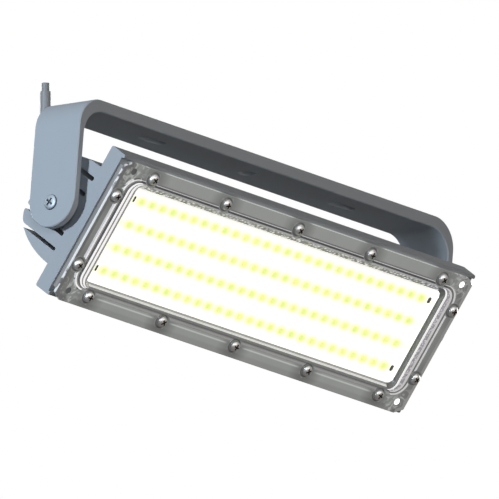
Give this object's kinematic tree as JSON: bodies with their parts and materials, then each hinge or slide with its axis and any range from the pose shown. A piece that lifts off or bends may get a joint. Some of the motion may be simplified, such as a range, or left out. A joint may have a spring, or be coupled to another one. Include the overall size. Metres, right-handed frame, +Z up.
{
  "type": "led flood light",
  "caption": "Rectangular finned flood light head with a clear screwed-on lens cover, tilting inside a U-shaped ceiling or wall bracket.",
  "frame": {"origin": "middle of the bracket's top face, at the centre fixing hole", "axes": "+X along the head and the crossbar, to the right seen from the front; -Y towards the lit side; +Z up, out of the bracket's top face"},
  "size_m": [0.3246, 0.104, 0.1371],
  "materials": {
    "bracket_paint": "satin powder coat over aluminium, blue grey",
    "heat_sink_paint": "satin powder coat over aluminium, blue grey",
    "lens_clear": "clear gloss moulding",
    "gasket_rubber": "soft black silicone",
    "pad_grey": "matt grey heat-conducting pad",
    "board_white": "white solder mask with yellow LED chips",
    "screw_steel": "bright stainless steel",
    "gland_nylon": "grey moulded nylon",
    "washer_nylon": "dark moulded nylon",
    "lead_sheath": "grey rubber sheath",
    "lead_core": "grey inner insulation, cut by hand",
    "wire_red": "red wire insulation",
    "wire_black": "black wire insulation"
  },
  "bodies": {
    "bracket": {"bracket": "bracket_paint"},
    "head": {"heat_sink": "heat_sink_paint", "lens_gasket": "gasket_rubber", "thermal_pad": "pad_grey", "led_board": "board_white", "lens_cover": "lens_clear", "lens_screw_01": "screw_steel", "lens_screw_02": "screw_steel", "lens_screw_03": "screw_steel", "lens_screw_04": "screw_steel", "lens_screw_05": "screw_steel", "lens_screw_06": "screw_steel", "lens_screw_07": "screw_steel", "lens_screw_08": "screw_steel", "lens_screw_09": "screw_steel", "lens_screw_10": "screw_steel", "lens_screw_11": "screw_steel", "lens_screw_12": "screw_steel", "lens_screw_13": "screw_steel", "lens_screw_14": "screw_steel", "board_screw_1": "screw_steel", "board_screw_2": "screw_steel", "board_screw_3": "screw_steel", "board_screw_4": "screw_steel", "pivot_screw_left": "screw_steel", "pivot_screw_right": "screw_steel", "pivot_washer_left": "washer_nylon", "pivot_washer_right": "washer_nylon", "gland_washer": "gasket_rubber", "gland_body": "gland_nylon", "gland_seal": "gasket_rubber", "gland_nut": "gland_nylon", "wire_positive": "wire_red", "wire_negative": "wire_black", "supply_lead": "lead_sheath", "lead_core": "lead_core"}
  },
  "joints": [
    {"name": "head_tilt", "type": "hinge", "parent": "bracket", "child": "head", "pos_m": [0, 0, -0.0615], "axis": [1, 0, 0], "range_deg": [-124, 26]}
  ]
}
